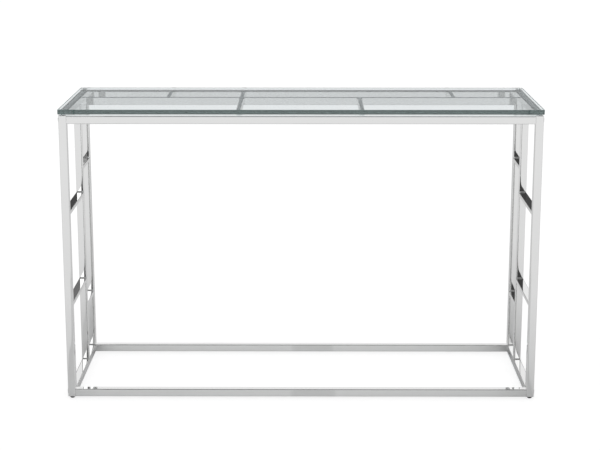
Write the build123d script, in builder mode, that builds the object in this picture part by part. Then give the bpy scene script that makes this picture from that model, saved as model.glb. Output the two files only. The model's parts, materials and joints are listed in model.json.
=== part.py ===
from build123d import *
import os

# Console table: a clear glass sheet on a chromed frame of square and flat steel tube.
# Frame axes: X along the table, Y from front to back, Z up. The origin is on the floor,
# under the middle of the table. The front faces -Y.

# Driving dimensions, in millimetres
table_length = 1200
table_depth = 400
table_height = 750

glass_thickness = 12
glass_overhang = 1.5        # how far the glass stands out past the frame, all round
glass_corner = 3            # radius of the glass sheet's four corners
glass_arris = 0.8           # bevel ground along the glass sheet's top and bottom edges

tube_size = 20              # square tube of the legs and the rails
tube_wall = 1.2
tube_corner = 2             # outside corner radius of the square tube

flat_width = 20             # flat tube of the lattice, the middle rail and the cross bars
flat_thickness = 10
flat_wall = 1
flat_corner = 1.2           # outside corner radius of the flat tube

upright_setback = 250       # from the frame's front plane to the upright's front face
front_bar_heights = {"low": 249, "high": 486}   # floor to the axis of each lattice bar
rear_bar_heights = {"low": 179, "high": 556}
front_cross_places = {"left": -156, "right": 153}               # along X, from the middle
rear_cross_insets = {"left": 250, "right": 200}                 # from the ends of the table

pad_height = 4              # clear pad between a leg and the glass
pad_inset = 1.5             # from the faces of its leg to the pad's edge
pad_edge = 0.8              # rounding of the pad's edges
pad_spigot_diameter = 5
pad_spigot_length = 2.5
top_plate_thickness = 3     # plate that closes the top of a leg

foot_height = 6             # how far a foot stands out below its leg when screwed in
foot_inset = 3.3            # from the faces of its leg to the foot's edge
foot_rim = 1.6              # straight edge of the dome, next to the leg
foot_tread_diameter = 6     # flat underneath the dome
stud_diameter = 6
stud_into_leg = 7.5         # above the underside of the leg, when screwed in
stud_into_foot = 3.5
insert_thickness = 5        # threaded plate in the bottom of a leg

plug_length = 18            # threaded plug in the end of a long rail
access_inset = 4            # from the faces of its tube to a tool hole over a bolt head
cap_flange_width = 1        # how far a cap's flange covers the wall around its hole
cap_flange_thickness = 1.2
cap_stem_length = 4

frame_bolt = {"shank": 6, "length": 16, "head": 10.5, "head_height": 3.3, "socket": 4, "washer": 11.5}
middle_bolt = {"shank": 5, "length": 16, "head": 9.5, "head_height": 2.75, "socket": 3, "washer": 10}
socket_depth = 2            # hexagon socket in a bolt head
washer_thickness = 1.2

# Clearances
thread_gap = 0.05           # radial, a thread in its hole
hole_gap = 0.3              # radial, a bolt in the wall that it passes through
seat_gap = 0.1              # a welded or pressed-in piece in its tube or hole

# Places worked out from the dimensions above
frame_top = table_height - glass_thickness - pad_height
half_length = table_length / 2 - glass_overhang     # to the outer faces of the frame
half_depth = table_depth / 2 - glass_overhang
leg_x = half_length - tube_size / 2                 # axes of the legs and of the end frames
leg_y = half_depth - tube_size / 2
rail_half_length = half_length - tube_size          # the long rails end at the end frames
side_half_depth = half_depth - tube_size            # the side rails end at the legs
top_rail_z = frame_top - tube_size / 2
bottom_rail_z = foot_height + tube_size / 2
middle_rail_z = frame_top - flat_width / 2
upright_y = -half_depth + upright_setback + flat_thickness / 2
upright_bottom = foot_height + tube_size
upright_top = frame_top - tube_size
tube_inside = tube_size - 2 * tube_wall
pad_diameter = tube_size - 2 * pad_inset
foot_diameter = tube_size - 2 * foot_inset
access_diameter = tube_size - 2 * access_inset
cap_flange_diameter = access_diameter + 2 * cap_flange_width
insert_top = foot_height + insert_thickness
bottom_wall_z = foot_height + tube_size - tube_wall     # underside of a bottom rail's upper wall
bottom_bolt_z = (insert_top + bottom_wall_z) / 2        # midway, so that the washer clears both
rear_cross_places = {
    "left": -table_length / 2 + rear_cross_insets["left"],
    "middle": front_cross_places["left"],           # in line with a front cross bar
    "right": table_length / 2 - rear_cross_insets["right"],
}

SIDES = {"left": -1, "right": 1}
ENDS = {"front": -1, "back": 1}

os.makedirs("parts", exist_ok=True)


def save(piece, label):
    """Name a finished piece and write it as its own STEP file."""
    piece.part.label = label
    export_step(piece.part, f"parts/{label}.step")


def square_section():
    """The hollow section of the square tube, drawn into the open sketch."""
    RectangleRounded(tube_size, tube_size, tube_corner)
    Rectangle(tube_inside, tube_inside, mode=Mode.SUBTRACT)


def flat_section(width, height):
    """The hollow section of the flat tube, drawn width by height into the open sketch."""
    RectangleRounded(width, height, flat_corner)
    Rectangle(width - 2 * flat_wall, height - 2 * flat_wall, mode=Mode.SUBTRACT)


def drill_bolt_path(side, y, z, bolt):
    """Drill the open tube for a bolt: a clear hole inside, a tool hole in the outer wall."""
    inner_x = side * rail_half_length
    outer_x = side * half_length
    reach = side * tube_size / 2
    with BuildSketch(Plane.YZ.offset(inner_x)) as bolt_hole:
        with Locations((y, z)):
            Circle(bolt["shank"] / 2 + hole_gap)
    extrude(bolt_hole.sketch, amount=reach, mode=Mode.SUBTRACT)
    with BuildSketch(Plane.YZ.offset(outer_x)) as tool_hole:
        with Locations((y, z)):
            Circle(access_diameter / 2)
    extrude(tool_hole.sketch, amount=-reach, mode=Mode.SUBTRACT)


def make_leg(side, end):
    """A leg: square tube from the foot to the pad, drilled for its two long rails."""
    with BuildPart() as leg:
        with BuildSketch(Plane.XY.offset(foot_height)):
            with Locations((side * leg_x, end * leg_y)):
                square_section()
        extrude(amount=frame_top - foot_height)
        for height in (bottom_bolt_z, top_rail_z):
            drill_bolt_path(side, end * leg_y, height, frame_bolt)
    return leg


def make_long_rail(end, z):
    """A long rail: square tube from one end frame to the other."""
    with BuildPart() as rail:
        with BuildSketch(Plane.YZ.offset(-rail_half_length)):
            with Locations((end * leg_y, z)):
                square_section()
        extrude(amount=2 * rail_half_length)
    return rail


def make_side_rail(side, z, drilled):
    """A side rail: square tube between the legs of one end frame."""
    with BuildPart() as rail:
        with BuildSketch(Plane.XZ.offset(side_half_depth)):
            with Locations((side * leg_x, z)):
                square_section()
        extrude(amount=-2 * side_half_depth)
        if drilled:
            drill_bolt_path(side, upright_y, middle_rail_z, middle_bolt)
    return rail


def make_upright(side):
    """An upright: flat tube from the bottom side rail to the top side rail."""
    with BuildPart() as upright:
        with BuildSketch(Plane.XY.offset(upright_bottom)):
            with Locations((side * leg_x, upright_y)):
                flat_section(flat_width, flat_thickness)
        extrude(amount=upright_top - upright_bottom)
    return upright


def make_lattice_bar(side, start_y, end_y, z):
    """A lattice bar: flat tube lying flat, from start_y to end_y in one end frame."""
    with BuildPart() as bar:
        with BuildSketch(Plane.XZ.offset(-start_y)):
            with Locations((side * leg_x, z)):
                flat_section(flat_width, flat_thickness)
        extrude(amount=start_y - end_y)
    return bar


def make_middle_rail():
    """The middle rail: flat tube on edge between the side rails, in line with the uprights."""
    with BuildPart() as rail:
        with BuildSketch(Plane.YZ.offset(-rail_half_length)):
            with Locations((upright_y, middle_rail_z)):
                flat_section(flat_thickness, flat_width)
        extrude(amount=2 * rail_half_length)
    return rail


def make_cross_bar(x, start_y, end_y):
    """A cross bar: flat tube on edge from start_y to end_y, under the glass."""
    with BuildPart() as bar:
        with BuildSketch(Plane.XZ.offset(-start_y)):
            with Locations((x, middle_rail_z)):
                flat_section(flat_thickness, flat_width)
        extrude(amount=start_y - end_y)
    return bar


def make_glass():
    """The glass sheet: rounded corners, with a bevel along its top and bottom edges."""
    with BuildPart() as glass:
        with BuildSketch(Plane.XY.offset(table_height - glass_thickness)):
            RectangleRounded(table_length, table_depth, glass_corner)
        extrude(amount=glass_thickness)
        flat_faces = glass.faces().filter_by(Axis.Z)
        chamfer(flat_faces.edges(), glass_arris)
    return glass


def make_pads():
    """Four clear pads, each with a spigot that sits in the plate on top of its leg."""
    with BuildPart() as pads:
        with BuildSketch(Plane.XY.offset(frame_top)):
            with GridLocations(2 * leg_x, 2 * leg_y, 2, 2):
                Circle(pad_diameter / 2)
        extrude(amount=pad_height)
        fillet(pads.edges().filter_by(GeomType.CIRCLE), pad_edge)
        with BuildSketch(Plane.XY.offset(frame_top)):
            with GridLocations(2 * leg_x, 2 * leg_y, 2, 2):
                Circle(pad_spigot_diameter / 2)
        extrude(amount=-pad_spigot_length)
    return pads


def make_leg_plates(bottom, thickness, hole_diameter):
    """Four plates welded into the legs from bottom up, each with one hole."""
    with BuildPart() as plates:
        with BuildSketch(Plane.XY.offset(bottom)):
            with GridLocations(2 * leg_x, 2 * leg_y, 2, 2):
                Rectangle(tube_inside - 2 * seat_gap, tube_inside - 2 * seat_gap)
                Circle(hole_diameter / 2, mode=Mode.SUBTRACT)
        extrude(amount=thickness)
    return plates


def make_foot_dome(side, end):
    """A domed foot with a blind hole that holds its stud."""
    rim_z = foot_height - foot_rim
    tread = foot_tread_diameter / 2
    radius = foot_diameter / 2
    with BuildPart() as dome:
        with BuildSketch(Plane.XZ):
            with BuildLine():
                Line((0, foot_height), (0, 0))
                Line((0, 0), (tread, 0))
                TangentArc((radius, rim_z), (tread, 0), tangent=(0, -1))
                Line((radius, rim_z), (radius, foot_height))
                Line((radius, foot_height), (0, foot_height))
            make_face()
        revolve(axis=Axis.Z)
        with BuildSketch(Plane.XY.offset(foot_height)):
            Circle(stud_diameter / 2 + seat_gap)
        extrude(amount=-stud_into_foot, mode=Mode.SUBTRACT)
    dome.part = Pos(side * leg_x, end * leg_y, 0) * dome.part
    return dome


def make_foot_stud(side, end):
    """The threaded stud that is moulded into a foot."""
    with BuildPart() as stud:
        with BuildSketch(Plane.XY.offset(foot_height - stud_into_foot)):
            with Locations((side * leg_x, end * leg_y)):
                Circle(stud_diameter / 2)
        extrude(amount=stud_into_foot + stud_into_leg)
        chamfer(stud.edges().group_by(Axis.Z)[-1], stud_diameter / 10)
    return stud


def make_plugs(places, width, height, bolt):
    """Threaded plugs inside rail ends; places hold (side, y, z, bolt z) for each."""
    with BuildPart() as plugs:
        for side, y, z, bolt_z in places:
            with BuildSketch(Plane.YZ.offset(side * rail_half_length)):
                with Locations((y, z)):
                    Rectangle(width - 2 * seat_gap, height - 2 * seat_gap)
                with Locations((y, bolt_z)):
                    Circle(bolt["shank"] / 2 + thread_gap, mode=Mode.SUBTRACT)
            extrude(amount=-side * plug_length)
    return plugs


def make_washers(places, bolt):
    """Washers inside the end frames, against the wall next to the rail."""
    with BuildPart() as washers:
        for side, y, _, bolt_z in places:
            with BuildSketch(Plane.YZ.offset(side * (rail_half_length + tube_wall))):
                with Locations((y, bolt_z)):
                    Circle(bolt["washer"] / 2)
                    Circle(bolt["shank"] / 2 + hole_gap, mode=Mode.SUBTRACT)
            extrude(amount=side * washer_thickness)
    return washers


def make_bolts(places, bolt):
    """Low socket-head bolts: head on its washer, shank through the wall into the plug."""
    head_x = rail_half_length + tube_wall + washer_thickness
    top_x = head_x + bolt["head_height"]
    with BuildPart() as bolts:
        for side, y, _, bolt_z in places:
            with BuildSketch(Plane.YZ.offset(side * head_x)):
                with Locations((y, bolt_z)):
                    Circle(bolt["head"] / 2)
            extrude(amount=side * bolt["head_height"])
            with BuildSketch(Plane.YZ.offset(side * head_x)):
                with Locations((y, bolt_z)):
                    Circle(bolt["shank"] / 2)
            extrude(amount=-side * bolt["length"])
            with BuildSketch(Plane.YZ.offset(side * top_x)):
                with Locations((y, bolt_z)):
                    RegularPolygon(bolt["socket"] / 2, 6, major_radius=False)
            extrude(amount=-side * socket_depth, mode=Mode.SUBTRACT)
    return bolts


def make_caps(places):
    """Push-in caps over the tool holes: a thin flange outside, a stem in the hole."""
    with BuildPart() as caps:
        for side, y, _, bolt_z in places:
            with BuildSketch(Plane.YZ.offset(side * half_length)):
                with Locations((y, bolt_z)):
                    Circle(cap_flange_diameter / 2)
            extrude(amount=side * cap_flange_thickness)
            with BuildSketch(Plane.YZ.offset(side * half_length)):
                with Locations((y, bolt_z)):
                    Circle(access_diameter / 2 - seat_gap)
            extrude(amount=-side * cap_stem_length)
        outer_rims = caps.edges().filter_by(GeomType.CIRCLE).group_by(lambda e: abs(e.center().X))[-1]
        chamfer(outer_rims, cap_flange_thickness / 2)
    return caps


# Where the bolts are: side, then y and z of the rail's axis, then z of the bolt
frame_joints = []
for end in ENDS.values():
    for side in SIDES.values():
        frame_joints.append((side, end * leg_y, bottom_rail_z, bottom_bolt_z))
        frame_joints.append((side, end * leg_y, top_rail_z, top_rail_z))
middle_joints = [(side, upright_y, middle_rail_z, middle_rail_z) for side in SIDES.values()]

# Legs, feet and long rails
for end_name, end in ENDS.items():
    save(make_long_rail(end, top_rail_z), f"top_rail_{end_name}")
    save(make_long_rail(end, bottom_rail_z), f"bottom_rail_{end_name}")
    for side_name, side in SIDES.items():
        save(make_leg(side, end), f"leg_{end_name}_{side_name}")
        save(make_foot_dome(side, end), f"foot_dome_{end_name}_{side_name}")
        save(make_foot_stud(side, end), f"foot_stud_{end_name}_{side_name}")

# End frames
upright_front = upright_y - flat_thickness / 2
upright_back = upright_y + flat_thickness / 2
for side_name, side in SIDES.items():
    save(make_side_rail(side, top_rail_z, True), f"top_rail_{side_name}")
    save(make_side_rail(side, bottom_rail_z, False), f"bottom_rail_{side_name}")
    save(make_upright(side), f"upright_{side_name}")
    for level, z in front_bar_heights.items():
        bar = make_lattice_bar(side, -side_half_depth, upright_front, z)
        save(bar, f"lattice_front_{level}_{side_name}")
    for level, z in rear_bar_heights.items():
        bar = make_lattice_bar(side, upright_back, side_half_depth, z)
        save(bar, f"lattice_rear_{level}_{side_name}")

# Under the glass
save(make_middle_rail(), "top_rail_middle")
for place, x in front_cross_places.items():
    save(make_cross_bar(x, -side_half_depth, upright_front), f"cross_bar_front_{place}")
for place, x in rear_cross_places.items():
    save(make_cross_bar(x, upright_back, side_half_depth), f"cross_bar_rear_{place}")

# Glass, pads and the plates in the legs
save(make_glass(), "glass_top")
save(make_pads(), "glass_pads")
top_plate_bottom = frame_top - top_plate_thickness
top_plate_hole = pad_spigot_diameter + 2 * seat_gap
save(make_leg_plates(top_plate_bottom, top_plate_thickness, top_plate_hole), "leg_top_plates")
insert_hole = stud_diameter + 2 * thread_gap
save(make_leg_plates(foot_height, insert_thickness, insert_hole), "foot_inserts")

# Fastenings between the end frames and the long rails
save(make_plugs(frame_joints, tube_inside, tube_inside, frame_bolt), "rail_end_plugs")
flat_inside = (flat_thickness - 2 * flat_wall, flat_width - 2 * flat_wall)
save(make_plugs(middle_joints, *flat_inside, middle_bolt), "middle_rail_plugs")
save(make_washers(frame_joints, frame_bolt), "frame_washers")
save(make_washers(middle_joints, middle_bolt), "middle_washers")
save(make_bolts(frame_joints, frame_bolt), "frame_bolts")
save(make_bolts(middle_joints, middle_bolt), "middle_bolts")
save(make_caps(frame_joints + middle_joints), "access_caps")
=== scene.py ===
import json
import math

import bmesh
import bpy
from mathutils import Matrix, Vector


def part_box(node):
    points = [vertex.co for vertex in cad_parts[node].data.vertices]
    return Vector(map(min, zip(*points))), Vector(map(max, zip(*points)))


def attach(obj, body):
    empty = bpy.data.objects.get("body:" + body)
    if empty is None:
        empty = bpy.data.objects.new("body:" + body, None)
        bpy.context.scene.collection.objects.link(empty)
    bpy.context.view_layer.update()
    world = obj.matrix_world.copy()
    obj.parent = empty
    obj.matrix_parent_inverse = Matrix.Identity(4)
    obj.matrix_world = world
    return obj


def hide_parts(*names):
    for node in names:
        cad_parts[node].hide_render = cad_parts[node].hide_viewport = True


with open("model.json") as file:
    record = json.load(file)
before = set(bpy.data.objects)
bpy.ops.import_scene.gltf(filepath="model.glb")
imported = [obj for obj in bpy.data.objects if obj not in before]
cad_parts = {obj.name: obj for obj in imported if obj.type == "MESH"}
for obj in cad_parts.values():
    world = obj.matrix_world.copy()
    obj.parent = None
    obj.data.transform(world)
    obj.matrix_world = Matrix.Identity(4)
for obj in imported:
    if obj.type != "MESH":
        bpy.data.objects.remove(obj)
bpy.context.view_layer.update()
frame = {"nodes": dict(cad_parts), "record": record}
nodes = frame["nodes"]

MM = 0.001
AXES = "XYZ"

# ---------------------------------------------------------------- camera
# A long lens in front of the table, a little above it and looking down.
CAMERA_PLACE = (0.0125, -3.8638, 1.3094)    # metres
CAMERA_DOWN = 13.06                         # degrees below the horizon
CAMERA_TURN = 0.23                          # degrees to the left
CAMERA_LENS = 90.2                          # millimetres
CAMERA_SENSOR = 36                          # millimetres across
CAMERA_SIGHT = 100                          # metres, further than the floor's corners


def make_camera():
    """The camera of the main view."""
    data = bpy.data.cameras.new("camera")
    data.sensor_width = CAMERA_SENSOR
    data.lens = CAMERA_LENS
    data.clip_end = CAMERA_SIGHT
    camera = bpy.data.objects.new("camera", data)
    camera.location = CAMERA_PLACE
    camera.rotation_euler = (math.radians(90 - CAMERA_DOWN), 0, math.radians(CAMERA_TURN))
    bpy.context.scene.collection.objects.link(camera)
    bpy.context.scene.camera = camera


# ---------------------------------------------------------------- node helpers
def new_material(name):
    """A node material, its tree and its principled shader."""
    material = bpy.data.materials.new(name)
    material.use_nodes = True
    tree = material.node_tree
    return material, tree, tree.nodes["Principled BSDF"]


def split(tree, output):
    """The X, Y and Z sockets of one of a point's coordinates."""
    place = tree.nodes.new("ShaderNodeTexCoord")
    axes = tree.nodes.new("ShaderNodeSeparateXYZ")
    tree.links.new(place.outputs[output], axes.inputs["Vector"])
    return {axis: axes.outputs[axis] for axis in AXES}


def math_node(tree, operation, first, second=0.0, third=0.0):
    """A math node; each input is a socket or a number."""
    node = tree.nodes.new("ShaderNodeMath")
    node.operation = operation
    for slot, value in zip(node.inputs, (first, second, third)):
        if isinstance(value, (int, float)):
            slot.default_value = value
        else:
            tree.links.new(value, slot)
    return node.outputs["Value"]


def over_span(tree, value, span):
    """A coordinate as a position on a ramp: 0 is in the middle, and the span fills the ramp."""
    return math_node(tree, "MULTIPLY_ADD", value, 1 / span, 0.5)


def ramp(tree, value, stops):
    """A ramp of grey levels; each stop is a position from 0 to 1 and the level there."""
    node = tree.nodes.new("ShaderNodeValToRGB")
    elements = node.color_ramp.elements
    while len(elements) < len(stops):
        elements.new(0.5)
    for element, (position, level) in zip(elements, stops):
        element.position = position
        element.color = (level, level, level, 1)
    tree.links.new(value, node.inputs["Fac"])
    return node.outputs["Color"]


def mix(tree, factor, first, second):
    """A colour mix; each input is a socket, a colour or a grey level."""
    node = tree.nodes.new("ShaderNodeMix")
    node.data_type = "RGBA"
    tree.links.new(factor, node.inputs["Factor"])
    for slot, value in zip((node.inputs["A"], node.inputs["B"]), (first, second)):
        if isinstance(value, (int, float)):
            slot.default_value = (value, value, value, 1)
        elif isinstance(value, tuple):
            slot.default_value = value
        else:
            tree.links.new(value, slot)
    return node.outputs["Result"]


def mix_shaders(tree, factor, first, second):
    """The first shader where the factor is 0, and the second where it is 1."""
    node = tree.nodes.new("ShaderNodeMixShader")
    tree.links.new(factor, node.inputs["Fac"])
    tree.links.new(first, node.inputs[1])
    tree.links.new(second, node.inputs[2])
    return node.outputs["Shader"]


def noise(tree, scale, detail):
    """Noise over the object's own coordinates, with about scale waves in each metre."""
    place = tree.nodes.new("ShaderNodeTexCoord")
    texture = tree.nodes.new("ShaderNodeTexNoise")
    texture.inputs["Scale"].default_value = scale
    texture.inputs["Detail"].default_value = detail
    tree.links.new(place.outputs["Object"], texture.inputs["Vector"])
    return texture.outputs["Fac"]


def bump(tree, height, distance, under=None, strength=1.0):
    """A normal bent by a height, of which 1 is worth the distance, over the normal under it."""
    node = tree.nodes.new("ShaderNodeBump")
    node.inputs["Strength"].default_value = strength
    node.inputs["Distance"].default_value = distance
    tree.links.new(height, node.inputs["Height"])
    if under is not None:
        tree.links.new(under, node.inputs["Normal"])
    return node.outputs["Normal"]


def roughen(tree, shader, patches):
    """Roughness in patches: noise scale and detail, then stops of noise level and roughness."""
    scale, detail, stops = patches
    tree.links.new(ramp(tree, noise(tree, scale, detail), stops), shader.inputs["Roughness"])


# ---------------------------------------------------------------- chrome
CHROME_COLOUR = (0.81, 0.812, 0.81, 1)
CHROME_HAZE = (9, 4, [(0.35, 0.015), (0.75, 0.05)])     # patches, as roughen() takes them
POLISH_NOISE = (14, 1)      # scale and detail of the long waves that polishing leaves
POLISH_HEIGHT = 0.12 * MM
CROWN_FALL = {"X": 0.02 * MM, "Y": 0.06 * MM, "Z": 0.4 * MM}    # by the axis of the tube
CROWN_POWER = 4.0           # the higher, the flatter the walls are in the middle
PUCKER_NOISE = (70, 1)      # of the walls next to a weld
PUCKER_HEIGHT = 0.04 * MM
PUCKER_REACH = 0.028        # metres each side of a joint where the heat of its weld moved them
JOINT_SPAN = 1.4            # metres that the ramps of the joints cover, half to each side of 0
JOINT_DIGITS = 4            # decimals of a metre, so that tubes in one line make one joint


def middle_of(node):
    """The middle of a CAD node's box."""
    low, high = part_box(node)
    return (low + high) / 2


def find_joints():
    """Where other tubes meet the tubes along each axis, in metres, from the lowest up."""
    bars = [name for name in nodes if name.startswith("cross_bar_")]
    rails = [name for name in nodes if name.startswith(("bottom_rail_", "lattice_", "top_rail_"))]
    found = {
        "X": [end.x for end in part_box("top_rail_front")] + [middle_of(bar).x for bar in bars],
        "Y": [end.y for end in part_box("top_rail_left")] + [middle_of("upright_left").y],
        "Z": [middle_of(rail).z for rail in rails],
    }
    return {axis: sorted({round(place, JOINT_DIGITS) for place in found[axis]}) for axis in AXES}


JOINTS = find_joints()


def crowned_faces(tree, axis):
    """How far a buffed tube's walls fall away towards its edges: 0 on their middle lines."""
    across = split(tree, "Generated")
    total = 0.0
    for other in AXES.replace(axis, ""):
        from_middle = math_node(tree, "MULTIPLY_ADD", across[other], 2.0, -1.0)
        fall = math_node(tree, "POWER", math_node(tree, "ABSOLUTE", from_middle), CROWN_POWER)
        total = math_node(tree, "SUBTRACT", total, fall)
    return total


def near_joints(tree, axis):
    """1 at the joints along a tube, 0 away from them."""
    stops = []
    for joint in JOINTS[axis]:
        for offset, level in ((-PUCKER_REACH, 0.0), (0.0, 1.0), (PUCKER_REACH, 0.0)):
            stops.append(((joint + offset) / JOINT_SPAN + 0.5, level))
    return ramp(tree, over_span(tree, split(tree, "Object")[axis], JOINT_SPAN), stops)


def chrome_material(axis=None):
    """Bright chrome plate: faint waves left by polishing and a faint haze in places. On a tube
    along the given axis, the walls are also a little crowned, and uneven next to its welds."""
    name = "chrome" if axis is None else "chrome_along_" + axis.lower()
    material, tree, shader = new_material(name)
    shader.inputs["Base Color"].default_value = CHROME_COLOUR
    shader.inputs["Metallic"].default_value = 1.0
    roughen(tree, shader, CHROME_HAZE)
    normal = bump(tree, noise(tree, *POLISH_NOISE), POLISH_HEIGHT)
    if axis is not None:
        normal = bump(tree, crowned_faces(tree, axis), CROWN_FALL[axis], normal)
        puckers = math_node(tree, "MULTIPLY", noise(tree, *PUCKER_NOISE), near_joints(tree, axis))
        normal = bump(tree, puckers, PUCKER_HEIGHT, normal)
    tree.links.new(normal, shader.inputs["Normal"])
    return material


# ---------------------------------------------------------------- glass
GLASS_IOR = 1.5
FACE_TINT = (0.915, 0.929, 0.935, 1)    # what each crossing of a face lets through
EDGE_TINT = (0.48, 0.472, 0.472, 1)     # and each crossing of a ground edge
FACE_UPRIGHT = [(0.6, 0.0), (0.85, 1.0)]    # 1 where the normal is as upright as a face's
GLASS_SHINE = 0.3                       # share of a bare surface's reflection that is shown
TRAPPED_POWER = 24                      # takes each reflectance short of 1 down to nearly 0
INSIDE_COLOUR = (0.25, 0.55, 0.53, 1)   # of light that stays in the glass
INSIDE_DENSITY = 2.0                    # per metre


def glass_material():
    """Clear float glass: its faces mirror a little, and light that goes in by an edge stays
    inside until it has turned green-grey."""
    material, tree, shader = new_material("clear_glass")
    tree.nodes.remove(shader)
    upright = math_node(tree, "ABSOLUTE", split(tree, "Normal")["Z"])
    tint = mix(tree, ramp(tree, upright, FACE_UPRIGHT), EDGE_TINT, FACE_TINT)
    through = tree.nodes.new("ShaderNodeBsdfRefraction")
    through.inputs["Roughness"].default_value = 0.0
    through.inputs["IOR"].default_value = GLASS_IOR
    tree.links.new(tint, through.inputs["Color"])
    mirror = tree.nodes.new("ShaderNodeBsdfGlossy")
    mirror.inputs["Color"].default_value = (1, 1, 1, 1)
    mirror.inputs["Roughness"].default_value = 0.0
    fresnel = tree.nodes.new("ShaderNodeFresnel")
    fresnel.inputs["IOR"].default_value = GLASS_IOR
    bare = fresnel.outputs["Fac"]
    # Light that can't get out, for which bare is 1, is still turned back in full.
    trapped = math_node(tree, "POWER", bare, TRAPPED_POWER)
    shine = math_node(tree, "MULTIPLY", bare, GLASS_SHINE)
    share = math_node(tree, "MULTIPLY_ADD", trapped, 1 - GLASS_SHINE, shine)
    surface = mix_shaders(tree, share, through.outputs["BSDF"], mirror.outputs["BSDF"])
    inside = tree.nodes.new("ShaderNodeVolumeAbsorption")
    inside.inputs["Color"].default_value = INSIDE_COLOUR
    inside.inputs["Density"].default_value = INSIDE_DENSITY
    output = tree.nodes["Material Output"]
    tree.links.new(surface, output.inputs["Surface"])
    tree.links.new(inside.outputs["Volume"], output.inputs["Volume"])
    return material


# ---------------------------------------------------------------- plastics and zinc
CLEAR_COLOUR = (0.93, 0.95, 0.95, 1)
CLEAR_IOR = 1.46
CLEAR_TRANSMISSION = 0.9
CLEAR_ALPHA = 0.6
CLEAR_PATCHES = (300, 2, [(0.3, 0.05), (0.7, 0.18)])
BLACK_COLOUR = (0.012, 0.012, 0.013, 1)
BLACK_PATCHES = (400, 3, [(0.3, 0.38), (0.7, 0.55)])
GRAIN_NOISE = (2500, 2)     # of the skin that the mould leaves
GRAIN_HEIGHT = 0.1 * MM
GRAIN_STRENGTH = 0.3
ZINC_COLOUR = (0.55, 0.56, 0.58, 1)
ZINC_PATCHES = (220, 3, [(0.3, 0.22), (0.7, 0.4)])


def clear_plastic_material():
    """Soft clear plastic, slightly frosted, for the pads under the glass."""
    material, tree, shader = new_material("clear_plastic")
    shader.inputs["Base Color"].default_value = CLEAR_COLOUR
    shader.inputs["IOR"].default_value = CLEAR_IOR
    shader.inputs["Transmission Weight"].default_value = CLEAR_TRANSMISSION
    shader.inputs["Alpha"].default_value = CLEAR_ALPHA
    roughen(tree, shader, CLEAR_PATCHES)
    return material


def black_plastic_material():
    """Moulded black plastic with a fine grain, for the feet."""
    material, tree, shader = new_material("black_plastic")
    shader.inputs["Base Color"].default_value = BLACK_COLOUR
    roughen(tree, shader, BLACK_PATCHES)
    grain = bump(tree, noise(tree, *GRAIN_NOISE), GRAIN_HEIGHT, strength=GRAIN_STRENGTH)
    tree.links.new(grain, shader.inputs["Normal"])
    return material


def zinc_material():
    """Zinc-plated steel, duller in patches, for the hardware."""
    material, tree, shader = new_material("zinc_steel")
    shader.inputs["Base Color"].default_value = ZINC_COLOUR
    shader.inputs["Metallic"].default_value = 1.0
    roughen(tree, shader, ZINC_PATCHES)
    return material


# ---------------------------------------------------------------- finishes of the CAD nodes
MATERIALS = {
    "chrome": chrome_material(),
    "clear_glass": glass_material(),
    "clear_plastic": clear_plastic_material(),
    "black_plastic": black_plastic_material(),
    "zinc_steel": zinc_material(),
}
TUBE_MATERIALS = {axis: chrome_material(axis) for axis in AXES}
TUBE_NAMES = (
    "leg_front_", "leg_back_", "top_rail_", "bottom_rail_", "upright_", "lattice_", "cross_bar_",
)


def dress_nodes():
    """Give each CAD node the finish of its slot, and each tube the chrome of its direction."""
    for part in frame["record"]["subparts"]:
        name = part["node"]
        material = MATERIALS[part["material_slot"]]
        if name.startswith(TUBE_NAMES):
            low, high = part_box(name)
            size = list(high - low)
            material = TUBE_MATERIALS[AXES[size.index(max(size))]]
        nodes[name].data.materials.clear()
        nodes[name].data.materials.append(material)


# ---------------------------------------------------------------- pieces in mesh code
SHARP = math.radians(40)    # faces at a wider angle than this meet in a crisp edge
PLACES = ("front_left", "front_right", "back_left", "back_right")
X, Y, Z = Vector((1, 0, 0)), Vector((0, 1, 0)), Vector((0, 0, 1))


def finish_piece(name, shape, slot, body):
    """Turn a bmesh into a piece that rides on a body, with smooth faces between sharp edges."""
    bmesh.ops.recalc_face_normals(shape, faces=shape.faces)
    mesh = bpy.data.meshes.new(name)
    shape.to_mesh(mesh)
    shape.free()
    mesh.polygons.foreach_set("use_smooth", [True] * len(mesh.polygons))
    mesh.set_sharp_from_angle(angle=SHARP)
    mesh.materials.append(MATERIALS[slot])
    piece = bpy.data.objects.new(name, mesh)
    bpy.context.scene.collection.objects.link(piece)
    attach(piece, body)
    return piece


def add_skin(shape, rings):
    """A closed skin over rings of points, with a face over the first ring and the last."""
    rows = [[shape.verts.new(point) for point in ring] for ring in rings]
    count = len(rows[0])
    for lower, upper in zip(rows, rows[1:]):
        for i in range(count):
            j = (i + 1) % count
            shape.faces.new((lower[i], lower[j], upper[j], upper[i]))
    shape.faces.new(rows[0])
    shape.faces.new(rows[-1])


def point_round(centre, radius, height, turn):
    """A point round an upright axis, at a height above the centre and a share of a turn."""
    angle = 2 * math.pi * turn
    return centre + Vector((radius * math.cos(angle), radius * math.sin(angle), height))


# ---------------------------------------------------------------- welds
WELD_SIZE = 2.4 * MM        # leg of a fillet weld
WELD_BULGE = 0.16           # how far its face stands out, as a share of the leg
WELD_BITE = 0.15 * MM       # how far it reaches into the walls that it joins
WELD_INSET = 1.3 * MM       # from the edges of the tube to the ends of the weld
WELD_STEPS = 30             # sections along it
WELD_FACETS = 7             # facets across its face
RUN_OUT = 2.2 * MM          # length over which it gets smaller at each end
RUN_OUT_SHARE = 0.25        # of its size, left at the very end
RIPPLE_PITCH = 1.9 * MM
RIPPLE_SIZE = 0.015         # height of the ripples, as a share of the leg
RIPPLE_SHIFT = 9            # radians for each metre from the table's middle, so that welds differ


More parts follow.
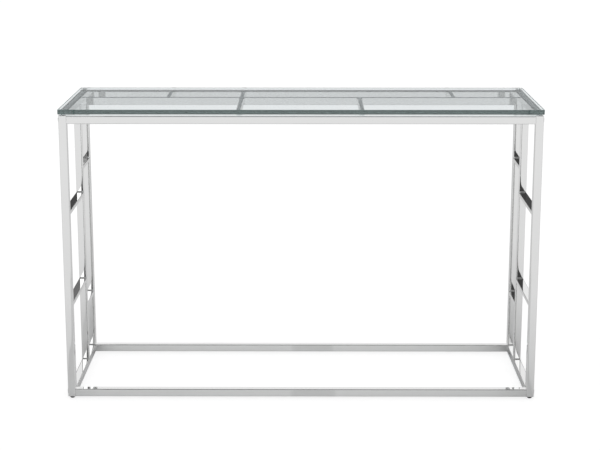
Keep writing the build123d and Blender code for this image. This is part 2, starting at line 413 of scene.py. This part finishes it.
def add_weld(shape, corner, along, up, out, length):
    """A fillet weld along an inside corner, between walls whose normals are up and out."""
    rings = []
    for i in range(WELD_STEPS + 1):
        place = (i / WELD_STEPS - 0.5) * length
        from_end = min(1.0, (length / 2 - abs(place)) / RUN_OUT)
        rounding = math.sqrt(max(0.0, 1 - (1 - from_end) ** 2))
        size = RUN_OUT_SHARE + (1 - RUN_OUT_SHARE) * rounding
        phase = 2 * math.pi * place / RIPPLE_PITCH + RIPPLE_SHIFT * corner.length
        leg = WELD_SIZE * size * (1 + RIPPLE_SIZE * math.sin(phase))
        middle = corner + along * place
        ring = [middle - (up + out) * WELD_BITE, middle + up * leg - out * WELD_BITE]
        for k in range(WELD_FACETS + 1):
            t = k / WELD_FACETS
            bulge = WELD_BULGE * leg * math.sin(math.pi * t) / math.sqrt(2)
            ring.append(middle + up * (leg * (1 - t) + bulge) + out * (leg * t + bulge))
        ring.append(middle + out * leg - up * WELD_BITE)
        rings.append(ring)
    add_skin(shape, rings)


def add_welds_round(shape, node, run, faces, width):
    """Welds at both ends of a tube, on its walls that look along faces. The tube goes along
    run, and each weld along width."""
    low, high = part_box(node)
    axis, across = list(run).index(1), list(width).index(1)
    length = high[across] - low[across] - 2 * WELD_INSET
    for end, out in ((low, run), (high, -run)):
        for up in faces:
            side = [abs(value) for value in up].index(1)
            corner = middle_of(node)
            corner[axis] = end[axis]
            corner[side] = (high if up[side] > 0 else low)[side]
            add_weld(shape, corner, width, up, out, length)


def make_welds():
    """The welds of each end frame, and of the cross bars under the glass."""
    for side in ("left", "right"):
        shape = bmesh.new()
        for place in ("front_low", "front_high", "rear_low", "rear_high"):
            add_welds_round(shape, "lattice_%s_%s" % (place, side), Y, (Z, -Z), X)
        add_welds_round(shape, "upright_" + side, Z, (Y, -Y), X)
        add_welds_round(shape, "top_rail_" + side, Y, (-Z,), X)
        add_welds_round(shape, "bottom_rail_" + side, Y, (Z,), X)
        finish_piece("welds_" + side, shape, "chrome", "root")
    shape = bmesh.new()
    for name in nodes:
        if name.startswith("cross_bar_"):
            add_welds_round(shape, name, Y, (X, -X), Z)
    finish_piece("welds_top", shape, "chrome", "root")


# ---------------------------------------------------------------- pads under the glass
PAD_SEGMENTS = 56
PAD_PROFILE = [     # radius and height above the leg, in millimetres, from the spigot's tip up
    (2.4, -2.5), (2.5, -2.3), (2.5, -0.02),
    (8.1, -0.02), (8.4, 0.15), (8.5, 0.5), (8.4, 0.9), (8.0, 1.15),     # flange
    (5.6, 1.35), (4.7, 1.65), (4.4, 2.0), (4.6, 2.35), (5.6, 2.75),     # neck
    (7.2, 3.3), (8.3, 3.65), (8.5, 3.85), (8.4, 3.98), (8.0, 3.98),     # rim against the glass
    (6.0, 3.75), (2.0, 3.55),                                           # hollow inside the rim
]


def make_pads():
    """A turned pad on each leg, in place of the plain ones."""
    for place in PLACES:
        centre = middle_of("leg_" + place)
        centre.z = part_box("leg_" + place)[1].z
        rings = []
        for radius, height in PAD_PROFILE:
            turns = [i / PAD_SEGMENTS for i in range(PAD_SEGMENTS)]
            rings.append([point_round(centre, radius * MM, height * MM, turn) for turn in turns])
        shape = bmesh.new()
        add_skin(shape, rings)
        pad = finish_piece("pad_" + place, shape, "clear_plastic", "root")
        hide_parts("glass_pads")


# ---------------------------------------------------------------- threads of the feet
THREAD_PITCH = 1.0 * MM
THREAD_DEPTH = 0.55 * MM
THREAD_SEGMENTS = 28        # points round the stud
THREAD_STEPS = 8            # rings of points in each turn of the thread
TIP_LENGTH = 1.0 * MM       # the stud's top end narrows over this,
TIP_INSET = 0.5 * MM        # and by this all round


def make_foot_threads():
    """A threaded stud in each foot, in place of the plain one."""
    for place in PLACES:
        low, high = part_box("foot_stud_" + place)
        base = middle_of("foot_stud_" + place)
        base.z = low.z
        radius = (high.x - low.x) / 2
        length = high.z - low.z
        steps = int(length / THREAD_PITCH * THREAD_STEPS)
        rings = []
        for k in range(steps + 1):
            height = length * k / steps
            tip = max(0.0, 1 - (length - height) / TIP_LENGTH) * TIP_INSET
            ring = []
            for i in range(THREAD_SEGMENTS):
                turn = i / THREAD_SEGMENTS
                groove = abs((height / THREAD_PITCH - turn) % 1 - 0.5) * 2    # 1 at its bottom
                ring.append(point_round(base, radius - THREAD_DEPTH * groove - tip, height, turn))
            rings.append(ring)
        shape = bmesh.new()
        add_skin(shape, rings)
        thread = finish_piece("foot_thread_" + place, shape, "zinc_steel", "foot_" + place)
        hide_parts("foot_stud_" + place)


# ---------------------------------------------------------------- studio
# Chrome mirrors a darker floor and sky than those that are seen straight or through the glass.
# The floor's levels where chrome mirrors it are painted light and shade.
# Each list of pairs is a ramp: positions from 0 to 1, and the level at each.
UNMIRRORED = 0.5        # a ray with less glossy depth than this hasn't been mirrored
ONE_PANE = 2.5          # one with less transmission depth has crossed a single pane at most

FLOOR_SIZE = 60.0       # metres along each side
FLOOR_GAP = 0.3 * MM    # from the feet down to it
FLOOR_GREY = 0.8        # the floor's own reflectance
SEEN_GREY = 0.32        # its reflectance where it is seen straight or through the glass,
SEEN_GLOW = 0.80        # and what is added to it there

# The floor that chrome mirrors, over a span in metres from behind the table to in front of it:
# its level and what is added to it, both painted light that brightens it further in front of the
# table, and the zone by the table where both are different.
MIRROR_SPAN = 12.0
MIRRORED_PAINTED_GREY = [(0.49, 0.81), (0.51, 0.83)]
MIRRORED_PAINTED_GLOW = [(0.52, 0.0), (0.55, 0.12), (0.60, 0.21), (0.80, 0.264)]
PAINTED_ZONE_ALONG = [(0.483, 0.0), (0.485, 1.0), (0.615, 1.0), (0.625, 0.0)]
# The zone's extent and level, over a span in metres from left to right. It has no glow. Its level
# is painted light and shade: lighter than the floor round it under the table and just in front of
# it, darker further in front, darker towards its left and right ends, and darker in a band down
# its middle that is a painted reflection of the camera.
PAINTED_ZONE_SPAN = 2.0
PAINTED_ZONE_SIDES = [(0.169, 0.0), (0.172, 1.0), (0.803, 1.0), (0.806, 0.0)]
PAINTED_ZONE_GREY = [
    (0.170, 0.77), (0.205, 0.80), (0.24, 0.92), (0.485, 0.93), (0.490, 0.82),
    (0.542, 0.82), (0.547, 0.93), (0.675, 0.92), (0.75, 0.87), (0.80, 0.70),
]

SOFT_LIGHT = 0.78       # level of the sky for rays that aren't seen or mirrored
DIRECTION_SPAN = 2.0    # a direction's X and Y go from -1 to 1
LEFT_TO_RIGHT = [(0.49, 0.0), (0.51, 1.0)]
AHEAD_TO_BEHIND = [(0.45, 0.0), (0.55, 1.0)]
BEHIND_LEFT = [         # the mirrored sky behind the table: sine of the height, and level
    (0.0, 0.37), (0.163, 0.36), (0.174, 0.07), (0.235, 0.07), (0.245, 0.18), (0.280, 0.18),
    (0.292, 0.95), (0.60, 0.95), (0.70, 0.12), (0.95, 0.12), (0.97, 0.75),
]
BEHIND_RIGHT = [
    (0.0, 0.37), (0.163, 0.36), (0.174, 0.07), (0.235, 0.07), (0.245, 0.95),
    (0.60, 0.95), (0.70, 0.12), (0.95, 0.12), (0.97, 0.75),
]
AHEAD = [(0.0, 0.5), (0.03, 0.07), (0.95, 0.06), (0.97, 0.75)]
LAMPS = [               # level, then its extent from left to right and in sines of the height
    (1.6, [(0.34, 0.0), (0.35, 1.0), (0.430, 1.0), (0.436, 0.0)],
     [(0.168, 0.0), (0.172, 0.15), (0.191, 0.15), (0.195, 1.0), (0.36, 1.0), (0.38, 0.0)]),
    (1.3, [(0.545, 0.0), (0.555, 1.0), (0.65, 1.0), (0.66, 0.0)],
     [(0.290, 0.0), (0.30, 1.0), (0.36, 1.0), (0.38, 0.0)]),
]


def sort_rays(tree):
    """Two sockets: 1 for rays that see a thing straight or through glass, and 1 for rays that
    mirror it, which counts where the first is 0. A ray that crosses the glass, is mirrored and
    crosses the glass again is one of those."""
    path = tree.nodes.new("ShaderNodeLightPath")
    crossing = path.outputs["Is Transmission Ray"]
    direct = math_node(tree, "LESS_THAN", path.outputs["Glossy Depth"], UNMIRRORED)
    once = math_node(tree, "LESS_THAN", path.outputs["Transmission Depth"], ONE_PANE)
    through = math_node(tree, "MULTIPLY", math_node(tree, "MAXIMUM", once, direct), crossing)
    seen = math_node(tree, "MAXIMUM", path.outputs["Is Camera Ray"], through)
    mirrored = math_node(tree, "MAXIMUM", path.outputs["Is Glossy Ray"], crossing)
    return seen, mirrored


def make_floor():
    """A pale floor that reads white and still takes the table's soft shadow. Where chrome mirrors
    it, its level and glow are painted light and shade.
    """
    half = FLOOR_SIZE / 2
    corners = [(-half, -half), (half, -half), (half, half), (-half, half)]
    mesh = bpy.data.meshes.new("floor")
    mesh.from_pydata([(x, y, -FLOOR_GAP) for x, y in corners], [], [(0, 1, 2, 3)])
    floor = bpy.data.objects.new("floor", mesh)
    bpy.context.scene.collection.objects.link(floor)
    material, tree, shader = new_material("floor")
    shader.inputs["Roughness"].default_value = 1.0
    shader.inputs["Specular IOR Level"].default_value = 0.0
    shader.inputs["Emission Color"].default_value = (1, 1, 1, 1)
    seen, mirrored = sort_rays(tree)
    axes = split(tree, "Object")
    forward = over_span(tree, axes["Y"], -MIRROR_SPAN)
    across = over_span(tree, axes["X"], PAINTED_ZONE_SPAN)
    near, beside = ramp(tree, forward, PAINTED_ZONE_ALONG), ramp(tree, across, PAINTED_ZONE_SIDES)
    # The zone by the table where the mirrored floor has painted light and shade, with a painted
    # reflection of the camera in it.
    painted_zone = math_node(tree, "MULTIPLY", near, beside)
    # The level at which chrome mirrors the floor: painted light and shade.
    painted_level = mix(tree, painted_zone, ramp(tree, forward, MIRRORED_PAINTED_GREY), ramp(tree, across, PAINTED_ZONE_GREY))
    grey = mix(tree, mirrored, FLOOR_GREY, painted_level)
    tree.links.new(mix(tree, seen, grey, SEEN_GREY), shader.inputs["Base Color"])
    outside = math_node(tree, "SUBTRACT", 1.0, painted_zone)
    # A painted glow: painted light on the floor in front of the table, where chrome mirrors it.
    painted_glow = math_node(tree, "MULTIPLY", ramp(tree, forward, MIRRORED_PAINTED_GLOW), outside)
    glow = mix(tree, seen, math_node(tree, "MULTIPLY", mirrored, painted_glow), SEEN_GLOW)
    tree.links.new(glow, shader.inputs["Emission Strength"])
    mesh.materials.append(material)


def make_world():
    """A studio by direction: banks of light behind the table with a dark gap between them, a
    dark room in front and overhead, and a lamp each side of the camera."""
    world = bpy.data.worlds.new("studio")
    world.use_nodes = True
    bpy.context.scene.world = world
    tree = world.node_tree
    axes = split(tree, "Generated")
    across = over_span(tree, axes["X"], DIRECTION_SPAN)
    backward = over_span(tree, axes["Y"], DIRECTION_SPAN)
    left, right = ramp(tree, axes["Z"], BEHIND_LEFT), ramp(tree, axes["Z"], BEHIND_RIGHT)
    behind = mix(tree, ramp(tree, across, LEFT_TO_RIGHT), left, right)
    ahead = ramp(tree, axes["Z"], AHEAD)
    for level, sides, heights in LAMPS:
        wide, high = ramp(tree, across, sides), ramp(tree, axes["Z"], heights)
        extent = math_node(tree, "MULTIPLY", wide, high)
        ahead = math_node(tree, "MULTIPLY_ADD", extent, level, ahead)
    room = mix(tree, ramp(tree, backward, AHEAD_TO_BEHIND), ahead, behind)
    seen, mirrored = sort_rays(tree)
    sky = mix(tree, seen, mix(tree, mirrored, SOFT_LIGHT, room), 1.0)
    tree.links.new(sky, tree.nodes["Background"].inputs["Color"])


# ---------------------------------------------------------------- the scene
GLASS_BOUNCES = 64      # light that goes in by an end of the glass zigzags all along it

make_camera()
dress_nodes()
make_welds()
make_pads()
make_foot_threads()
make_floor()
make_world()

bpy.context.scene.view_settings.view_transform = "Standard"
bpy.context.scene.cycles.glossy_bounces = GLASS_BOUNCES
bpy.context.scene.cycles.transmission_bounces = GLASS_BOUNCES
bpy.context.scene.cycles.max_bounces = GLASS_BOUNCES
